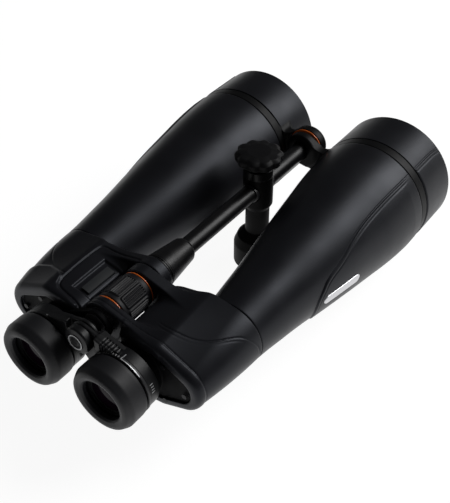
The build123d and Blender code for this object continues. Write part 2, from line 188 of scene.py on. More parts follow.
M = {
    "rubber_armour": material("rubber_armour", (0.0068, 0.0070, 0.0088), 0.38, rough_var=0.05, grain=0.55, grain_kind="pebble", bump=0.22, depth=0.00006, smudge=0.03, specular=0.22, tint=(0.86, 0.9, 1.0, 1)),
    "eyecup_rubber": material("eyecup_rubber", (0.0085, 0.0087, 0.0105), 0.50, rough_var=0.05, grain=0.4, grain_kind="pebble", bump=0.25, depth=0.00006, smudge=0.012, specular=0.3),
    "cast_metal": material("cast_metal", (0.02, 0.02, 0.022), 0.42, grain=0.6, bump=0.3),
    "bridge_black": material("bridge_black", (0.0025, 0.0026, 0.003), 0.42, rough_var=0.05, grain=0.3, bump=0.12, smudge=0.015, specular=0.12),
    "satin_black": material("satin_black", (0.006, 0.0063, 0.0072), 0.36, rough_var=0.05, grain=0.3, bump=0.12, smudge=0.015, specular=0.25),
    "black_cover": material("black_cover", (0.0022, 0.0023, 0.0028), 0.58, grain=0.35, bump=0.25, smudge=0.012, specular=0.05),
    "adapter_black": material("adapter_black", (0.0015, 0.0015, 0.0017), 0.5, rough_var=0.06, grain=0.4, bump=0.2, smudge=0.012, specular=0.07),
    "gloss_black": material("gloss_black", (0.004, 0.004, 0.0045), 0.34, rough_var=0.04, grain=0.2, bump=0.04, smudge=0.01, streak=(1, 0.03, 1), specular=0.22),
    "black_screw": material("black_screw", (0.008, 0.008, 0.009), 0.42, metallic=0.4, specular=0.2, grain=0.25, bump=0.15, color_var=0.2),
    "steel": material("steel", (0.5, 0.5, 0.52), 0.28, metallic=1.0, grain=0.25, bump=0.15, color_var=0.1),
    "brass_insert": material("brass_insert", (0.62, 0.46, 0.22), 0.3, metallic=1.0, grain=0.25, bump=0.15, color_var=0.1),
    "prism_glass": material("prism_glass", (0.9, 0.95, 0.93), 0.03, rough_var=0.01, bump=0.0, transmission=1.0, ior=1.57, color_var=0.01),
    "black_plastic": material("black_plastic", (0.004, 0.004, 0.0045), 0.5, grain=0.35, bump=0.15, specular=0.15),
    "coated_glass": material("coated_glass", (0.012, 0.020, 0.018), 0.05, rough_var=0.015, bump=0.0, coat=1.0, coat_rough=0.02, color_var=0.3, specular=0.8),
    "eye_glass": material("eye_glass", (0.0035, 0.0012, 0.0035), 0.08, rough_var=0.015, bump=0.0, coat=0.0, color_var=0.5, specular=0.05),
    "white_plastic": material("white_plastic", (0.7, 0.69, 0.64), 0.45, grain=0.4, bump=0.1, color_var=0.06),
    "wheel_plastic": material("wheel_plastic", (0.010, 0.010, 0.012), 0.38, grain=0.35, bump=0.15, smudge=0.01),
    "wheel_rubber": material("wheel_rubber", (0.007, 0.007, 0.0085), 0.46, specular=0.25, grain=0.35, grain_kind="pebble", bump=0.2, smudge=0.01),
    "knob_rubber": material("knob_rubber", (0.0035, 0.0035, 0.0042), 0.52, specular=0.15, grain=0.45, grain_kind="pebble", bump=0.3, smudge=0.012),
    "orange_trim": material("orange_trim", (0.80, 0.16, 0.02), 0.25, rough_var=0.05, grain=0.3, bump=0.05, color_var=0.12, coat=0.4, coat_rough=0.1),
    "silver_badge": material("silver_badge", (0.62, 0.62, 0.64), 0.32, metallic=0.85, rough_var=0.06, grain=0.25, bump=0.12, color_var=0.08, streak=(1, 0.05, 1)),
    "grey_plate": material("grey_plate", (0.022, 0.024, 0.026), 0.46, specular=0.25, grain=0.4, bump=0.15, color_var=0.15),
    "silver_print": material("silver_print", (0.55, 0.56, 0.57), 0.35, metallic=0.5, grain=0.3, bump=0.05, color_var=0.08),
}


# ---- mesh making -----------------------------------------------------------------
def build(name, verts, faces, mat, body, replaces=(), mirrored=False, smooth=True):
    """Mesh object from points in mm on the hinge axis and an array of quads or triangles."""
    v = np.array(verts, float)
    f = np.array(faces, np.int64)
    if mirrored:
        v = v * np.array([-1.0, 1.0, 1.0])
        f = f[:, ::-1]
    v = (v + SHIFT) / 1000.0
    me = bpy.data.meshes.new(name)
    me.vertices.add(len(v))
    me.vertices.foreach_set("co", v.astype(np.float32).ravel())
    if isinstance(faces, list) and len({len(q) for q in faces}) > 1:
        raise ValueError("mixed faces")
    k = f.shape[1]
    me.loops.add(f.size)
    me.loops.foreach_set("vertex_index", f.ravel().astype(np.int32))
    me.polygons.add(len(f))
    me.polygons.foreach_set("loop_start", (np.arange(len(f)) * k).astype(np.int32))
    me.polygons.foreach_set("loop_total", np.full(len(f), k, np.int32))
    me.polygons.foreach_set("use_smooth", np.full(len(f), smooth))
    me.update(calc_edges=True)
    me.validate()
    me.materials.append(M[mat])
    o = bpy.data.objects.new(name, me)
    scene.collection.objects.link(o)
    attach(o, body)
    if replaces:
        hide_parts(*replaces)
    return o


def resample(points, step):
    """Points of a closed outline, evenly spaced along its straight runs. points: (r, y, radius)."""
    n = len(points)
    out = []
    for i in range(n):
        p = np.array(points[i][:2], float)
        rad = points[i][2] if len(points[i]) > 2 else 0.0
        a = np.array(points[i - 1][:2], float)
        b = np.array(points[(i + 1) % n][:2], float)
        u, w = a - p, b - p
        lu, lw = np.linalg.norm(u), np.linalg.norm(w)
        if rad > 0 and lu > 1e-6 and lw > 1e-6:
            u, w = u / lu, w / lw
            ang = math.acos(max(-1, min(1, float(u @ w))))
            if ang < math.pi - 0.05:
                cut = min(rad / math.tan(ang / 2), 0.49 * lu, 0.49 * lw)
                r2 = cut * math.tan(ang / 2)
                c = p + (u + w) / np.linalg.norm(u + w) * (r2 / math.sin(ang / 2))
                s, e = p + u * cut, p + w * cut
                a0 = math.atan2(*(s - c)[::-1])
                a1 = math.atan2(*(e - c)[::-1])
                da = (a1 - a0 + math.pi) % (2 * math.pi) - math.pi
                k = max(3, int(abs(da) / 0.3) + 1)
                for t in range(k + 1):
                    aa = a0 + da * t / k
                    out.append(c + r2 * np.array([math.cos(aa), math.sin(aa)]))
                continue
        out.append(p)
    dense = []
    for i in range(len(out)):
        p, q = out[i], out[(i + 1) % len(out)]
        L = np.linalg.norm(q - p)
        k = max(1, int(math.ceil(L / step)))
        for t in range(k):
            dense.append(p + (q - p) * t / k)
    clean = [dense[0]]
    for p in dense[1:]:
        if np.linalg.norm(p - clean[-1]) > 1e-4:
            clean.append(p)
    if np.linalg.norm(clean[0] - clean[-1]) < 1e-4:
        clean.pop()
    return np.array(clean)


def lathe(points, segs, step, x=0.0, z=0.0, along="y", disp=None, at=(0.0, 0.0)):
    """Closed ring of revolution. points: (r, t, corner radius); t runs along Y or Z. disp(theta, r, t) -> new r."""
    prof = resample(points, step)
    n, m = len(prof), segs
    th = np.arange(m) * 2 * math.pi / m
    R = np.repeat(prof[:, 0][:, None], m, 1)
    T = np.repeat(prof[:, 1][:, None], m, 1)
    TH = np.repeat(th[None, :], n, 0)
    if disp is not None:
        R = disp(TH, R, T)
    X = R * np.cos(TH)
    Z = R * np.sin(TH)
    if along == "y":
        V = np.stack([X + x, T, Z + z], -1)
    else:
        V = np.stack([X + at[0], Z + at[1], T], -1)
    idx = np.arange(n * m).reshape(n, m)
    a = idx
    b = np.roll(idx, -1, 0)
    c = np.roll(b, -1, 1)
    d = np.roll(idx, -1, 1)
    F = np.stack([a, b, c, d], -1).reshape(-1, 4)
    V = V.reshape(-1, 3)
    # outward faces: check the signed volume
    P = V[F]
    ctr = V.mean(0)
    vol = np.einsum("ij,ij->i", P[:, 0] - ctr, np.cross(P[:, 1] - P[:, 0], P[:, 2] - P[:, 0])).sum()
    vol += np.einsum("ij,ij->i", P[:, 0] - ctr, np.cross(P[:, 2] - P[:, 0], P[:, 3] - P[:, 0])).sum()
    if vol < 0:
        F = F[:, ::-1]
    return V, F


def solid_lathe(points, segs, step, x=0.0, z=0.0, along="y", disp=None, at=(0.0, 0.0)):
    """As lathe, for an outline that starts and ends on the axis (r = 0)."""
    pts = [tuple(p) + (0.0,) * (3 - len(p)) for p in points]
    hole = 0.02
    pts[0] = (hole, pts[0][1], 0.0)
    pts[-1] = (hole, pts[-1][1], 0.0)
    return lathe(pts, segs, step, x, z, along, disp, at)


# signed distance shapes, arrays in mm ------------------------------------------------
def capsule2(px, pz, a, b):
    ax, az, ra = a
    bx, bz, rb = b
    dx, dz = bx - ax, bz - az
    h = np.sqrt(dx * dx + dz * dz)
    ux, uz = dx / h, dz / h
    qy = (px - ax) * ux + (pz - az) * uz
    qx = np.abs((px - ax) * uz - (pz - az) * ux)
    k = (ra - rb) / h
    m = np.sqrt(np.maximum(1 - k * k, 1e-6))
    s = qy * m - qx * k
    d = qx * m + qy * k - ra
    d = np.where(s < 0, np.sqrt(qx * qx + qy * qy) - ra, d)
    return np.where(s > m * h, np.sqrt(qx * qx + (qy - h) ** 2) - rb, d)


def hull2(px, pz, C):
    d = capsule2(px, pz, C[-1], C[0])
    for a, b in zip(C[:-1], C[1:]):
        d = np.minimum(d, capsule2(px, pz, a, b))
    if len(C) > 2:
        mx = sum(c[0] for c in C) / len(C)
        mz = sum(c[1] for c in C) / len(C)
        inner = None
        for a, b in zip(C, C[1:] + C[:1]):
            nx, nz = b[1] - a[1], a[0] - b[0]
            L = np.sqrt(nx * nx + nz * nz)
            s = ((px - a[0]) * nx + (pz - a[1]) * nz) / L
            sign = np.sign(-((mx - a[0]) * nx + (mz - a[1]) * nz))
            s = s * sign
            inner = s if inner is None else np.maximum(inner, s)
        d = np.minimum(d, inner)
    return d


def smin(a, b, k):
    h = np.clip(0.5 + 0.5 * (b - a) / k, 0, 1)
    return b + (a - b) * h - k * h * (1 - h)


def smax(a, b, k):
    return -smin(-a, -b, k)


def slab(t, t0, t1):
    return np.maximum(t0 - t, t - t1)


def seg_dist(p, line):
    """Distance of points (N,3) or (N,2) to a polyline."""
    best = None
    line = np.array(line, float)
    for a, b in zip(line[:-1], line[1:]):
        ab = b - a
        t = np.clip(((p - a) @ ab) / (ab @ ab), 0, 1)
        d = np.linalg.norm(p - a - t[..., None] * ab, axis=-1)
        best = d if best is None else np.minimum(best, d)
    return best


def spline(points, n=8):
    """Catmull-Rom through the points."""
    P = np.array(points, float)
    P = np.vstack([2 * P[0] - P[1], P, 2 * P[-1] - P[-2]])
    out = []
    for i in range(1, len(P) - 2):
        for t in np.arange(n) / n:
            a, b, c, d = P[i - 1], P[i], P[i + 1], P[i + 2]
            out.append(0.5 * (2 * b + (c - a) * t + (2 * a - 5 * b + 4 * c - d) * t ** 2 + (3 * b - a - 3 * c + d) * t ** 3))
    out.append(P[-2])
    return np.array(out)


def surface(f, lo, hi, h, newton=3):
    """Surface-nets mesh of f(x, y, z) < 0 inside the box lo..hi, on a grid of h mm."""
    B = 8
    lo = np.array(lo, float)
    nb = np.maximum(1, np.ceil((np.array(hi, float) - lo) / (h * B)).astype(int))
    bc = [lo[i] + h * (np.arange(nb[i]) * B + (B - 1) / 2) for i in range(3)]
    X, Y, Z = np.meshgrid(*bc, indexing="ij")
    fc = f(X.ravel(), Y.ravel(), Z.ravel())
    reach = h * B * 0.5 * math.sqrt(3) * 1.35 + h
    act = np.nonzero(np.abs(fc) < reach)[0]
    G = np.repeat(np.repeat(np.repeat(np.sign(fc).reshape(nb) * 9.0, B, 0), B, 1), B, 2).astype(np.float32)
    off = np.stack(np.meshgrid(np.arange(B), np.arange(B), np.arange(B), indexing="ij"), -1).reshape(-1, 3)
    bi = np.stack(np.unravel_index(act, nb), -1)
    for s in range(0, len(act), 3000):
        ii = (bi[s:s + 3000][:, None, :] * B + off[None]).reshape(-1, 3)
        p = lo + ii * h
        G[ii[:, 0], ii[:, 1], ii[:, 2]] = f(p[:, 0], p[:, 1], p[:, 2])
    S = G < 0
    n0, n1, n2 = G.shape
    c = [S[i:n0 - 1 + i, j:n1 - 1 + j, k:n2 - 1 + k] for i in (0, 1) for j in (0, 1) for k in (0, 1)]
    anyc = c[0] | c[1] | c[2] | c[3] | c[4] | c[5] | c[6] | c[7]
    allc = c[0] & c[1] & c[2] & c[3] & c[4] & c[5] & c[6] & c[7]
    cells = np.argwhere(anyc & ~allc)
    ids = -np.ones((n0 - 1, n1 - 1, n2 - 1), np.int64)
    ids[cells[:, 0], cells[:, 1], cells[:, 2]] = np.arange(len(cells))
    corner = np.array([[i, j, k] for i in (0, 1) for j in (0, 1) for k in (0, 1)])
    vals = np.stack([G[cells[:, 0] + q[0], cells[:, 1] + q[1], cells[:, 2] + q[2]] for q in corner], 1)
    acc = np.zeros((len(cells), 3))
    cnt = np.zeros(len(cells))
    for a in range(8):
        for b in range(a + 1, 8):
            if np.abs(corner[a] - corner[b]).sum() != 1:
                continue
            va, vb = vals[:, a], vals[:, b]
            m = (va < 0) != (vb < 0)
            t = np.where(m, va / np.where(m, va - vb, 1), 0)
            acc += np.where(m[:, None], corner[a] + t[:, None] * (corner[b] - corner[a]), 0)
            cnt += m
    V = lo + (cells + acc / np.maximum(cnt, 1)[:, None]) * h
    quads = []
    for ax in range(3):
        o1, o2 = [(1, 2), (2, 0), (0, 1)][ax]
        sl_a = [slice(None)] * 3
        sl_b = [slice(None)] * 3
        sl_a[ax], sl_b[ax] = slice(0, -1), slice(1, None)
        d = S[tuple(sl_a)] != S[tuple(sl_b)]
        e = np.argwhere(d)
        e = e[(e[:, o1] > 0) & (e[:, o2] > 0) & (e[:, o1] < ids.shape[o1]) & (e[:, o2] < ids.shape[o2])]
        inside = S[e[:, 0], e[:, 1], e[:, 2]]
        u = np.zeros(3, int); u[o1] = 1
        w = np.zeros(3, int); w[o2] = 1
        q = [e, e - u, e - u - w, e - w]
        ii = np.stack([ids[t[:, 0], t[:, 1], t[:, 2]] for t in q], 1)
        ii[~inside] = ii[~inside][:, ::-1]
        quads.append(ii)
    F = np.concatenate(quads)
    F = F[(F >= 0).all(1)]
    for _ in range(newton):
        v0 = f(V[:, 0], V[:, 1], V[:, 2])
        e = 0.05
        g = np.stack([
            f(V[:, 0] + e, V[:, 1], V[:, 2]) - f(V[:, 0] - e, V[:, 1], V[:, 2]),
            f(V[:, 0], V[:, 1] + e, V[:, 2]) - f(V[:, 0], V[:, 1] - e, V[:, 2]),
            f(V[:, 0], V[:, 1], V[:, 2] + e) - f(V[:, 0], V[:, 1], V[:, 2] - e)], -1) / (2 * e)
        g2 = np.maximum((g * g).sum(1), 0.25)
        step = g * (v0 / g2)[:, None]
        L = np.linalg.norm(step, axis=1)
        step *= np.minimum(1, 0.4 * h / np.maximum(L, 1e-9))[:, None]
        V = V - step * 0.8
    return V, F


# ---- barrels and hoods -------------------------------------------------------------
BARREL = np.array([
    (24.2, -229.0), (25.2, -219.0), (27.0, -205.0), (29.8, -184.0), (34.6, -154.0),
    (38.9, -126.0), (42.6, -100.0), (44.5, -87.0), (46.2, -72.0), (47.2, -58.0), (47.6, -47.1)])
prof = spline(BARREL, 10)
prof = prof[np.argsort(prof[:, 1])]


def barrel_r(y):
    return np.interp(y, prof[:, 1], prof[:, 0])


# outline of the raised outer panel, (y, angle in degrees round the objective axis)
PANEL = spline([(8, 46.5), (-3.4, 46.9), (-12.8, 48.1), (-37.4, 48.3), (-50.1, 48.4), (-88.6, 47.8), (-119.3, 42.9),
                (-143.4, 31.0), (-159.2, 23.3), (-167.4, 13.0), (-173.2, -0.9), (-174.4, -20.0), (-170.0, -42.0),
                (-158.0, -62.0), (-138.0, -80.0), (-110.0, -93.0), (-80.0, -99.0), (-40.0, -101.0), (8, -101.5)], 6)
PCUM = PANEL.copy()


def panel_distance(th, r, y):
    """Signed distance in mm to the panel's outline on the barrel, negative inside."""
    deg = np.degrees(th)
    deg = (deg + 180.0 + 27.0) % 360.0 - 180.0 - 27.0     # centred on the panel's middle, -27 degrees
    rr = np.maximum(r, 10.0)
    s = np.radians(deg) * rr
    best = np.full(s.shape, 1e9)
    for a, b in zip(PANEL[:-1], PANEL[1:]):
        ay, as_ = a[0], np.radians(a[1]) * rr
        by, bs = b[0], np.radians(b[1]) * rr
        dy, ds = by - ay, bs - as_
        t = np.clip(((y - ay) * dy + (s - as_) * ds) / (dy * dy + ds * ds), 0, 1)
        d = np.hypot(y - ay - t * dy, s - as_ - t * ds)
        best = np.minimum(best, d)
    # inside: between the two edges at this y, with the rear end closing the outline
    inside = np.zeros(s.shape, bool)
    for a, b in zip(PANEL[:-1], PANEL[1:]):
        cond = (a[1] > deg) != (b[1] > deg)
        with np.errstate(divide="ignore", invalid="ignore"):
            yy = a[0] + (deg - a[1]) / (b[1] - a[1]) * (b[0] - a[0])
        inside ^= cond & (y > yy)
    return np.where(inside, -best, best)


def seam(th, r, y, lift):
    """Height added by the panel and its two sewn-look grooves."""
    d = panel_distance(th, r, y)
    rise = lift * (1 - 1 / (1 + np.exp(-(d + 0.5) / 0.22)))
    g1 = 0.55 * np.exp(-((d + 0.1) / 0.42) ** 2)
    g2 = 0.40 * np.exp(-((d + 3.0) / 0.42) ** 2)
    return rise - g1 - g2


def barrel_disp(th, r, y):
    outer = r > barrel_r(y) - 0.8
    keep = np.clip((np.minimum(y + 228.4, -47.6 - y)) / 0.6, 0, 1)
    lifted = np.minimum(r + seam(th, r, y, 0.8) * keep, 47.95)
    return np.where(outer, np.minimum(lifted, np.maximum(r, 47.95)), r)


outer = [(barrel_r(y), y, 0.0) for y in np.linspace(-228.6, -47.6, 300)]
pts = outer + [(46.9, -47.1, 0), (45.4, -47.1, 0)] + [(barrel_r(y) - 2.2, y, 0) for y in np.linspace(-52, -224, 30)] + [(22.0, -229.0, 0), (23.9, -229.0, 0)]
for side, body in (("right", "root"), ("left", "left_half")):
    V, F = lathe(pts, 560, 0.62, OX, OZ, disp=barrel_disp)
    build(side + "_barrel_skin", V, F, "rubber_armour", body, [side + "_barrel_armour"], mirrored=side == "left")


def hood_disp(th, r, y):
    outer = r > 47.0
    keep = np.clip(np.minimum(y + 38.0, -1.4 - y) / 0.7, 0, 1)
    lifted = np.minimum(47.45 + seam(th, 47.5 + 0 * r, y, 0.5) * keep, 48.0)
    return np.where(outer, np.minimum(np.where(r > 47.6, lifted, r), 48.0), r)


hood_pts = [(47.4, -38.3, 0.5), (48.0, -37.6, 0.3), (48.0, -1.2, 2.2), (46.2, 0.0, 1.4), (44.3, -0.6, 0.6), (44.0, -1.6, 0.3),
            (44.0, -14.0), (42.85, -14.0), (42.85, -38.3, 0.3)]
for side, body in (("right", "root"), ("left", "left_half")):
    V, F = lathe(hood_pts, 560, 0.6, OX, OZ, disp=hood_disp)
    build(side + "_hood_skin", V, F, "rubber_armour", body, [side + "_objective_hood"], mirrored=side == "left")

# ---- front bridge --------------------------------------------------------------------
HUB_R = 13.6


def front_right(x, y, z):
    rho = np.hypot(x - OX, z - OZ)
    band = np.maximum(rho - 47.35, slab(y, -46.8, -38.6))
    band = smax(rho - 47.35, slab(y, -46.8, -38.6), 0.8)
    arm = np.maximum(capsule2(x, z, (0.0, 0.0, 9.5), (24.0, -7.3, 10.3)), slab(y, -46.9, -39.1))
    knuckle = smax(np.hypot(x, z) - HUB_R, slab(y, -46.9, -39.1), 2.2)
    d = smin(band, arm, 5.0)
    d = smin(d, knuckle, 4.0)
    d = np.maximum(d, 44.5 - rho)
    d = smax(d, slab(y, -47.1, -39.05), 1.0) if False else np.maximum(d, np.where(rho < 60, y + 38.4, y + 39.05))
    return np.maximum(d, ROD - np.hypot(x, z))


ROD = 6.8


def front_left(x, y, z):
    rho = np.hypot(x - OX, z - OZ)
    hub = np.hypot(x, z)
    band = smax(rho - 47.35, slab(y, -46.8, -38.6), 0.8)
    hood = np.maximum(rho - 47.4, slab(y, -38.3, -24.0))
    arm = smax(capsule2(x, z, (0.0, 0.0, 9.2), (24.0, -7.3, 9.6)), slab(y, -37.4, -30.9), 1.5)
    knuckle = smax(hub - 14.6, slab(y, -37.4, -31.1), 0.8)
    d = smin(hood, arm, 7.0)
    d = np.minimum(d, band)
    d = smin(d, arm, 3.0)
    d = np.maximum(d, np.where(y > -38.4, np.maximum(arm - 7.5, y + 24.5), -1e3))
    d = np.maximum(d, np.where(rho < 44.5, 44.5 - rho, 44.5 - rho))
    # clear the right-hand knuckle and the orange ring
    d = np.maximum(d, -np.maximum(hub - 15.6, y + 37.45))
    d = smin(d, knuckle, 3.0)
    d = np.maximum(d, -np.maximum(hub - 15.6, y + 37.45))
    return np.maximum(d, ROD - hub)


V, F = surface(front_right, (-16.5, -48.5, -68.5), (112.5, -37.0, 30), 0.6)
build("right_front_bridge_skin", V, F, "bridge_black", "root", ["right_front_bridge"])
V, F = surface(front_left, (-16.5, -48.5, -68.5), (112.5, -23.0, 30), 0.6)
build("left_front_bridge_skin", V, F, "bridge_black", "left_half", ["left_front_bridge"], mirrored=True)

V, F = solid_lathe([(0, -25.6), (6.0, -25.75, 3), (10.5, -26.9, 3), (13.4, -28.9, 2), (14.6, -31.0, 0.2), (6.8, -31.0), (0, -30.4)], 128, 0.5)
build("hub_dome", V, F, "bridge_black", "root", ["hub_cap"])
V, F = lathe([(14.3, -38.7, 0.3), (14.3, -37.9, 0.3), (6.8, -37.9), (6.8, -38.7)], 160, 0.5)
build("hub_orange_ring", V, F, "orange_trim", "root", ["hub_ring"])

# ---- prism housings -------------------------------------------------------------------
SEC = [
    (-229.0, [(31.0, -21.3, 25.5), (48.2, -36.3, 13.6), (63.2, -19.2, 24.2), (46.0, -5.1, 13.0)]),
    (-262.0, [(31.0, -21.3, 25.7), (48.2, -36.0, 13.4), (63.4, -19.9, 21.2), (45.5, -5.2, 12.4)]),
    (-288.0, [(31.0, -21.3, 25.3), (48.2, -33.0, 11.5), (63.1, -21.6, 16.8), (44.4, -5.2, 10.5)])]


def circles(y, inset=0.0):
    y0, y1, y2 = (s[0] for s in SEC)
    yy = np.clip(y, y2, y0)
    l0 = (yy - y1) * (yy - y2) / ((y0 - y1) * (y0 - y2))
    l1 = (yy - y0) * (yy - y2) / ((y1 - y0) * (y1 - y2))
    l2 = (yy - y0) * (yy - y1) / ((y2 - y0) * (y2 - y1))
    out = []
    for a, b, c in zip(SEC[0][1], SEC[1][1], SEC[2][1]):
        out.append(tuple(l0 * a[i] + l1 * b[i] + l2 * c[i] - (inset if i == 2 else 0.0) for i in range(3)))
    return out


DOUBLE = spline([(30.0, -266.5, 6.0), (36.5, -269.2, 5.6), (45.7, -270.4, 6.6), (53.4, -268.6, 4.7), (59.1, -266.5, 3.0), (64.5, -263.3, 1.7),
                 (68.3, -260.1, 1.0), (72.1, -255.4, 0.2), (75.1, -250.4, -0.8), (78.1, -245.2, -2.3), (80.5, -241.6, -4.1),
                 (83.4, -238.2, -7.5), (85.4, -235.6, -11.1), (86.8, -233.1, -15.8), (87.2, -231.6, -22.0)], 4)


def lug(x, y, z, y0, y1, r=14.0):
    d = capsule2(x, z, (0.0, 0.0, r), (36.0, -9.0, 13.0))
    return smax(d, slab(y, y0, y1), 1.0)


def housing(x, y, z, lugs, side):
    C = circles(y)
    skin = hull2(x, z, C)
    front = y + 229.0
    rear = -288.0 - y
    d = smax(skin, rear, 4.0)
    d = smax(d, front, 1.2 + 5.5 * np.clip((50.0 - x) / 14.0, 0, 1) * np.clip((z + 20.0) / 10.0, 0, 1))
    hub = np.hypot(x, z)
    d = smax(d, 17.2 - hub, 1.6)                       # room for the wheel and the lugs
    L = None
    for y0, y1 in lugs:
        one = lug(x, y, z, y0, y1)
        L = one if L is None else np.minimum(L, one)
    L = np.maximum(L, x - 46.0)
    d = smin(d, L, 5.5)
    # nothing of this half reaches into the other half's lugs or the wheel
    own = None
    for y0, y1 in lugs:
        s = slab(y, y0, y1)
        own = s if own is None else np.minimum(own, s)
    d = np.maximum(d, np.where(hub < 17.2, own, -1e3))
    d = np.maximum(d, 9.1 - hub)                        # hinge axle
    # recessed rear face inside the rounded lip
    rec = np.maximum(hull2(x, z, [(c[0], c[1], c[2] - 5.4) for c in C]), y + 285.6)
    d = smax(d, -rec, 0.8)
    # room for the eyepiece's lens barrel at the near end of its travel
    d = np.maximum(d, -np.maximum(np.hypot(x - EX, z - EZ) - 17.6, y + 280.0))
    return d


def right_housing(x, y, z):
    d = housing(x, y, z, [(-247.2, -238.2), (-285.0, -277.6)], "right")
    near = (np.abs(d) < 4.0)
    g = np.zeros(d.shape)
    if near.any():
        p = np.stack([x[near], y[near], z[near]], -1)
        s = seg_dist(p, DOUBLE)
        s2 = seg_dist(p, DOUBLE + np.array([1.0, -2.6, 0.0]))
        g[near] = 0.5 * np.exp(-(s / 0.5) ** 2) + 0.42 * np.exp(-(s2 / 0.5) ** 2)
        ls = np.abs(-y[near] - 281.6)
        g[near] += 0.35 * np.exp(-(ls / 0.45) ** 2)
        g[near] -= 0.6 / (1 + np.exp((y[near] + 282.4) / 0.4)) / (1 + np.exp((18.6 - x[near]) / 0.3))
    return d + g


PANEL_L = spline([(7.0, -235.8, 8), (15.0, -235.2, 6), (25.0, -234.7, 6), (31.0, -234.5, 6), (38.3, -234.5, 6), (41.4, -235.4, 6), (42.9, -238.5, 6), (43.5, -250.0, 6), (43.5, -263.0, 6), (43.1, -273.5, 6), (41.8, -278.6, 6), (39.0, -281.2, 6), (32.0, -282.6, 6), (24.0, -283.8, 5), (15.7, -286.2, 4)], 5)


def left_housing(x, y, z):
    d = housing(x, y, z, [(-237.9, -229.2)], "left")
    near = (np.abs(d) < 5.0) & (z > -16)
    g = np.zeros(d.shape)
    if near.any():
        xx, yy = x[near], y[near]
        s = seg_dist(np.stack([xx, yy], -1), PANEL_L[:, :2])
        g[near] += 0.9 * np.exp(-(s / 0.62) ** 2)
        # window recess
        win = np.maximum(np.abs(xx - 25.6) - 7.6, np.abs(yy + 259.6) - 15.8)
        g[near] += 1.7 / (1 + np.exp(win / 0.25))
    n2 = np.abs(d) < 4
    if n2.any():
        p = np.stack([x[n2], y[n2], z[n2]], -1)
        s = seg_dist(p, DOUBLE[8:])
        g[n2] += 0.5 * np.exp(-(s / 0.5) ** 2)
        # raised bumper round the rear edge, ending beside the wheel
        edge = np.interp(x[n2], [20.0, 24.0, 38.5, 42.5, 45.0, 50.0, 61.0, 70.0, 90.0], [-284.8, -285.0, -282.6, -279.4, -273.4, -270.2, -267.0, -268.0, -272.0])
        top = 1 / (1 + np.exp((-12.0 - z[n2]) / 2.5))
        edge = edge * top + (1 - top) * -277.0
        rise = 1.25 / (1 + np.exp((y[n2] - edge + 0.9) / 0.4)) / (1 + np.exp((20.6 - x[n2]) / 0.25))
        g[n2] -= rise
    return np.maximum(d + g, -np.maximum(np.hypot(x - EX, z - EZ) - 17.6, y + 280.0))


H = 0.6
V, F = surface(right_housing, (-16, -291.0, -54), (92, -226.5, 16), H)
build("right_housing_skin", V, F, "rubber_armour", "root", ["right_housing_armour", "right_prism_housing"])
V, F = surface(left_housing, (-16, -291.0, -54), (92, -226.5, 16), H)
build("left_housing_skin", V, F, "rubber_armour", "left_half", ["left_housing_armour", "left_prism_housing"], mirrored=True)

# ---- focus wheel ------------------------------------------------------------------------
def wheel_disp(th, r, y):
    a = (np.degrees(th) + 22.5) % 45.0 - 22.5
    s = np.radians(a) * 13.6
    yc = y + 262.5
    half_w, half_l, rad = 4.6, 9.6, 1.6
    qx = np.abs(s) - (half_w - rad)
    qy = np.abs(yc) - (half_l - rad)
    d = np.hypot(np.maximum(qx, 0), np.maximum(qy, 0)) + np.minimum(np.maximum(qx, qy), 0) - rad
    pad = 1 / (1 + np.exp(d / 0.16))
    inner = 1 / (1 + np.exp((d + 1.1) / 0.14))
    rib = 0.5 + 0.5 * np.cos(2 * math.pi * s / 1.75)
    h = 0.75 * pad - inner * 0.75 * (1 - rib ** 0.7)
    top = r > 12.6
    return np.where(top & (np.abs(yc) < 12.2), 13.2 + h, r)


V, F = lathe([(13.2, -275.5, 0.7), (13.2, -249.5, 0.7), (9.4, -249.4), (9.4, -275.6)], 720, 0.25, disp=wheel_disp)
build("focus_wheel_grip", V, F, "wheel_rubber", "wheel", ["focus_wheel", "focus_wheel_pads"])
for i, y0 in enumerate((-277.1, -249.3)):
    V, F = lathe([(13.0, y0 + 0.25, 0.35), (13.0, y0 + 1.1, 0.35), (9.3, y0 + 1.1), (9.3, y0 + 0.25)], 160, 0.4)
    build("focus_ring_%d" % i, V, F, "orange_trim", "wheel", ["focus_wheel_rings"])

# ---- rear covers ---------------------------------------------------------------------------
def cover(x, y, z, left):
    C = circles(y, 5.7)
    d = smax(hull2(x, z, C), slab(y, -286.9, -284.6), 0.8)
    hub = np.hypot(x, z)
    d = smax(d, 17.4 - hub, 0.6)
    rho = np.hypot(x - EX, z - EZ)
    boss = smax(rho - 19.4, slab(y, -296.8, -285.0), 0.8)
    d = smin(d, boss, 1.2)
    if left:
        ear = smax(capsule2(x, z, (0.0, 0.0, 11.2), (24.0, -12.0, 9.0)), slab(y, -290.7, -286.5), 0.8)
        ear = np.maximum(ear, -(rho - 17.2) - 3.0)
        d = smin(d, ear, 1.2)
        d = np.maximum(d, 9.1 - hub)
    return np.maximum(d, 17.1 - rho)


V, F = surface(lambda x, y, z: cover(x, y, z, False), (2, -299, -50), (84, -283, 12), 0.6)
build("right_cover_plate", V, F, "black_cover", "root", ["right_rear_cover"])
V, F = surface(lambda x, y, z: cover(x, y, z, True), (-13, -299, -50), (84, -283, 13), 0.6)
build("left_cover_plate", V, F, "black_cover", "left_half", ["left_rear_cover"], mirrored=True)

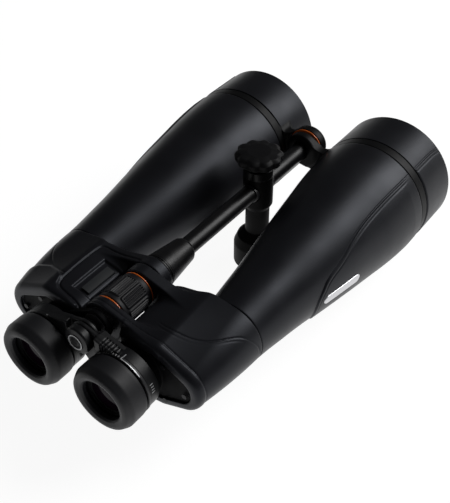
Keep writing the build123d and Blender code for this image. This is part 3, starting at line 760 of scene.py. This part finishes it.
# ---- eyepieces --------------------------------------------------------------------------------
CUP = [(24.0, -306.7, 0.5), (24.3, -309.0, 0.4), (24.3, -319.2, 4.5), (21.8, -324.3, 3.0), (19.0, -325.0, 2.2), (16.4, -324.1, 1.2),
       (15.3, -322.6, 1.0), (15.3, -319.4, 0.3), (21.3, -319.4), (21.3, -306.7, 0.3)]
for side in ("right", "left"):
    V, F = lathe(CUP, 256, 0.5, EX, EZ)
    build(side + "_eyecup_rubber", V, F, "eyecup_rubber", side + "_cup", [side + "_eyecup"], mirrored=side == "left")


def ring_disp(th, r, y):
    """Finger ribs along the upper stretch of the ring."""
    deg = (np.degrees(th) + 180) % 360 - 180
    ribs = 0.5 + 0.5 * np.cos(np.radians(deg) * 23.6 * 2 * math.pi / 2.2)
    zone = ((deg > 86) & (deg < 126)) | ((deg > -120) & (deg < -54))
    return np.where((r > 23.0) & zone, r - 0.55 * (1 - ribs) ** 1.5 + 0.0, r)


V, F = lathe([(23.3, -305.0, 0.3), (23.9, -304.6, 0.3), (23.9, -303.1, 0.3), (23.5, -302.8, 0.2), (19.9, -302.8, 0.2), (19.9, -305.0, 0.2)], 720, 0.3, EX, EZ, disp=ring_disp)
build("dioptre_grip", V, F, "wheel_plastic", "dioptre", ["dioptre_ring"])
for side in ("right", "left"):
    body = side + "_carriage"
    P = [(23.3, -302.6, 0.3), (23.3, -294.2, 0.6), (19.8, -294.2, 0.3), (19.8, -302.6, 0.2)]
    if side == "left":
        P = [(23.4, -305.0, 0.4), (23.4, -303.0, 0.3), (23.3, -302.6, 0.1), (23.3, -294.2, 0.6), (19.8, -294.2, 0.3), (19.7, -305.0, 0.3)]
    V, F = lathe(P, 256, 0.4, EX, EZ)
    build(side + "_sleeve", V, F, "satin_black", body, [side + "_ocular_sleeve"], mirrored=side == "left")


def arm_shape(x, y, z, y0, y1, ya, yb, ridged):
    """Arm from the screw to its sleeve: thin (y0..y1) beside the screw, thick (ya..yb) from there on."""
    rho = np.hypot(x - EX, z - EZ)
    hub = np.hypot(x, z)
    bar = capsule2(x, z, (0.0, 0.0, 10.2), (EX, EZ, 22.2))
    thin = smax(bar, slab(y, y0, y1), 0.9)
    thick = smax(smax(bar, slab(y, ya, yb), 1.1), 12.1 - x, 1.0)
    if ridged:
        # finger ridges on the rear top corner of the arm, running along the axis
        along = (x - 18.6) / 2.35
        zone = (x > 17.2) & (x < 30.2) & (y < -298.2) & (z > -10)
        cut = 0.75 * (0.5 - 0.5 * np.cos(2 * math.pi * along)) ** 1.6
        thick = thick + np.where(zone, cut, 0.0)
    d = smin(thin, thick, 0.8)
    d = np.maximum(d, np.where(y > -302.66, 22.95 - rho, (24.45 if ridged else 23.45) - rho))
    return np.maximum(d, 5.15 - hub)


V, F = surface(lambda x, y, z: arm_shape(x, y, z, -302.6, -299.8, -305.5, -294.7, True), (-12, -306.5, -46), (56, -293.5, 12), 0.42)
build("right_bridge_bar", V, F, "satin_black", "right_carriage", ["right_bridge_arm"])
V, F = surface(lambda x, y, z: arm_shape(x, y, z, -299.4, -296.6, -304.3, -296.6, False), (-12, -305.5, -46), (56, -295.3, 12), 0.45)
build("left_bridge_bar", V, F, "satin_black", "left_carriage", ["left_bridge_arm"], mirrored=True)

# centre cap with plain turned rings
V, F = solid_lathe([(0, -309.4), (2.2, -309.4), (2.6, -309.0), (4.4, -309.0), (4.8, -309.5, 0.2), (5.9, -309.5, 0.2), (6.4, -309.0, 0.2), (9.2, -308.4, 0.6), (10.0, -307.4, 0.6),
                   (10.0, -303.0, 0.3), (0, -303.0)], 160, 0.3)
build("centre_cap_turned", V, F, "satin_black", "right_carriage", ["centre_cap"])
V, F = lathe([(4.9, -309.62, 0.05), (5.75, -309.62, 0.05), (5.75, -309.4), (4.9, -309.4)], 120, 0.3)
build("centre_cap_ring", V, F, "silver_print", "right_carriage")

# ---- rod, collar, adapter, knob ----------------------------------------------------------------
V, F = solid_lathe([(0, -228.6), (6.75, -228.6, 0.2), (6.75, -30.2, 0.2), (0, -30.2)], 128, 1.5)
build("rod_turned", V, F, "gloss_black", "root", ["centre_rod"])
V, F = lathe([(6.8, -228.8), (13.0, -228.8, 0.3), (13.0, -227.9, 0.2), (12.6, -227.6, 0.1), (12.6, -227.3, 0.1), (13.0, -227.0, 0.2), (13.0, -226.3, 0.2), (12.6, -226.0, 0.1),
              (12.6, -225.7, 0.1), (12.7, -225.3, 0.2), (9.5, -199.4, 1.0), (8.3, -197.3, 0.5), (6.8, -197.3)], 128, 0.5)
build("collar_turned", V, F, "gloss_black", "root", ["cone_collar"])

POST = -107.0


def poly2(r, t, pts):
    """Signed distance to a polygon in (r, t)."""
    P = np.array(pts, float)
    d = np.full(r.shape, 1e9)
    s = np.ones(r.shape)
    n = len(P)
    j = n - 1
    for i in range(n):
        e = P[j] - P[i]
        wr, wt = r - P[i][0], t - P[i][1]
        k = np.clip((wr * e[0] + wt * e[1]) / (e @ e), 0, 1)
        d = np.minimum(d, np.hypot(wr - e[0] * k, wt - e[1] * k))
        c1, c2, c3 = t >= P[i][1], t < P[j][1], e[0] * wt > e[1] * wr
        flip = (c1 & c2 & c3) | (~c1 & ~c2 & ~c3)
        s = np.where(flip, -s, s)
        j = i
    return s * d


ADAPT = [(-1, -74.6), (14.9, -74.6), (17.8, -71.2), (17.8, -53.4), (15.0, -46.2), (9.0, -40.2), (9.0, -17.8), (11.2, -13.8), (11.2, 19.0), (-1, 19.0)]


def adapter(x, y, z):
    r = np.hypot(x, y - POST)
    d = poly2(r, z, ADAPT) - 0.4
    d = smax(d, 7.65 - np.hypot(x, z), 0.8)
    d = np.maximum(d, -np.maximum(np.hypot(x, y - POST) - 4.15, -z))
    return np.maximum(d, -np.maximum(r - 5.25, z + 62.0))


V, F = surface(adapter, (-19.5, POST - 19.5, -76.2), (19.5, POST + 19.5, 20.5), 0.6)
build("adapter_body", V, F, "adapter_black", "adapter", ["tripod_adapter"])
V, F = lathe([(9.5, 12.2), (11.75, 12.2, 0.3), (11.75, 19.3, 0.5), (9.5, 19.3)], 128, 0.5, along="z", at=(0.0, POST))
build("adapter_collar", V, F, "gloss_black", "adapter")


def knob_disp(th, r, t):
    lobe = (0.5 + 0.5 * np.cos(10 * th)) ** 0.75
    amp = np.clip((t - 23.5) / 3.0, 0, 1) * np.clip((r - 9.0) / 6.0, 0, 1)
    return r - amp * 1.7 * (1 - lobe)


V, F = solid_lathe([(0, 33.0), (9.0, 32.9, 3), (15.6, 32.0, 1.5), (17.0, 31.2, 1.0), (18.5, 29.8, 1.0), (18.0, 25.2, 1.0), (13.5, 23.6, 1.0), (10.0, 20.6, 0.5), (0, 20.6)],
                   360, 0.5, along="z", at=(0.0, POST), disp=knob_disp)
build("knob_lobed", V, F, "knob_rubber", "knob", ["lock_knob"])

# ---- silver badge, index line, scale marks and one painted highlight arc -------------------------
def skin_patch(name, corners, lift, mat, body, thick=0.5, nu=30, nv=60, mirrored=False, round_ends=False):
    """Plate that follows the barrel. corners: (y, degrees), in order."""
    c = np.array(corners, float)
    u = np.linspace(0, 1, nu)[:, None]
    v = np.linspace(0, 1, nv)[None, :]
    Y = (c[0, 0] * (1 - u) + c[3, 0] * u) * (1 - v) + (c[1, 0] * (1 - u) + c[2, 0] * u) * v
    A = (c[0, 1] * (1 - u) + c[3, 1] * u) * (1 - v) + (c[1, 1] * (1 - u) + c[2, 1] * u) * v
    if round_ends:
        # pull the two short ends in to half circles
        ym, wide, half = (c[0, 0] + c[1, 0]) / 2, np.radians(abs(c[0, 1] - c[3, 1])) * 38.0 / 2, abs(c[1, 0] - c[0, 0]) / 2
        across = (u - 0.5) * 2
        reach = (half - wide) + wide * np.sqrt(np.maximum(0, 1 - across ** 2))
        Y = ym + (Y - ym) * reach / half
    edge = np.minimum(np.minimum(u, 1 - u) * (nu - 1), np.minimum(v, 1 - v) * (nv - 1))
    top = lift + thick * np.clip(edge / 1.5, 0, 1) ** 0.5
    Rb = barrel_r(Y)
    th = np.radians(A)
    def pts_at(R):
        return np.stack([OX + R * np.cos(th), Y, OZ + R * np.sin(th)], -1).reshape(-1, 3)
    a, b = pts_at(Rb + top), pts_at(Rb - 0.6)
    V = np.vstack([a, b])
    n = nu * nv
    idx = np.arange(n).reshape(nu, nv)
    q = np.stack([idx[:-1, :-1], idx[1:, :-1], idx[1:, 1:], idx[:-1, 1:]], -1).reshape(-1, 4)
    F = [q, q[:, ::-1] + n]
    ring = np.concatenate([idx[0, :], idx[1:, -1], idx[-1, -2::-1], idx[-2:0:-1, 0]])
    nxt = np.roll(ring, -1)
    F.append(np.stack([ring, nxt, nxt + n, ring + n], -1))
    F = np.vstack(F)
    P = V[F]
    ctr = V.mean(0)
    vol = np.einsum("ij,ij->i", P[:, 0] - ctr, np.cross(P[:, 1] - P[:, 0], P[:, 2] - P[:, 0])).sum()
    if vol < 0:
        F = F[:, ::-1]
    return build(name, V, F, mat, body, mirrored=mirrored)


badge = skin_patch("badge_plate", [(-166.4, 1.2), (-127.8, 0.4), (-127.8, -11.2), (-166.4, -10.2)], 0.85, "silver_badge", "root", round_ends=True)
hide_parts("right_badge")

def mark(name, y0, y1, a0, a1, r, mat, body, mirrored=False, cx=EX, cz=EZ, deep=0.45):
    """Printed mark: a thin curved block on a cylinder round (cx, cz), between two angles in degrees. Also draws one
    painted highlight arc on the left sleeve's rim.
    """
    n = max(2, int(abs(a1 - a0) / 1.5) + 1)
    th = np.radians(np.linspace(a0, a1, n))
    rows = []
    for rr, yy in ((r, y0), (r, y1), (r - deep, y1), (r - deep, y0)):
        rows.append(np.stack([cx + rr * np.cos(th), np.full(n, yy), cz + rr * np.sin(th)], -1))
    V = np.stack(rows, 1).reshape(-1, 3)
    F = []
    for k in range(n - 1):
        for q in range(4):
            F.append((k * 4 + q, k * 4 + (q + 1) % 4, (k + 1) * 4 + (q + 1) % 4, (k + 1) * 4 + q))
    F += [(3, 2, 1, 0), ((n - 1) * 4, (n - 1) * 4 + 1, (n - 1) * 4 + 2, (n - 1) * 4 + 3)]
    F = np.array(F)
    P = V[F]
    ctr = V.mean(0)
    vol = np.einsum("ij,ij->i", P[:, 0] - ctr, np.cross(P[:, 1] - P[:, 0], P[:, 2] - P[:, 0])).sum()
    if vol < 0:
        F = F[:, ::-1]
    return build(name, V, F, mat, body, mirrored=mirrored, smooth=False)


mark("index_line_long", -304.95, -304.4, 84.0, 44.0, 24.02, "silver_print", "dioptre")
mark("index_line_short", -304.4, -302.9, 82.6, 84.0, 24.02, "silver_print", "dioptre")
mark("index_line_fixed", -302.4, -299.6, 82.6, 84.0, 23.42, "silver_print", "right_carriage")
for i, (a, w) in enumerate(((21.0, 1.6), (16.0, 1.0), (11.0, 1.0), (6.0, 1.6))):
    mark("scale_mark_%d" % i, -300.2 - 0.5 * w, -298.6, a, a + 1.2, 23.42, "silver_print", "right_carriage")
# painted highlight: a thin silver_print arc on part of the left sleeve's rim stands in for the gloss reflection on
# that edge; it is not a print
mark("left_ring_painted_highlight", -303.5, -303.15, 138.0, 92.0, 23.52, "silver_print", "left_carriage", mirrored=True)

# ---- carried-over CAD nodes get their finishes ----------------------------------------------------
slot_of = {s["node"]: s["material_slot"] for s in frame["record"]["subparts"]}
for name, o in frame["nodes"].items():
    mat = M[slot_of[name]]
    if len(o.material_slots) == 0:
        o.data.materials.append(mat)
    for s in o.material_slots:
        s.material = mat
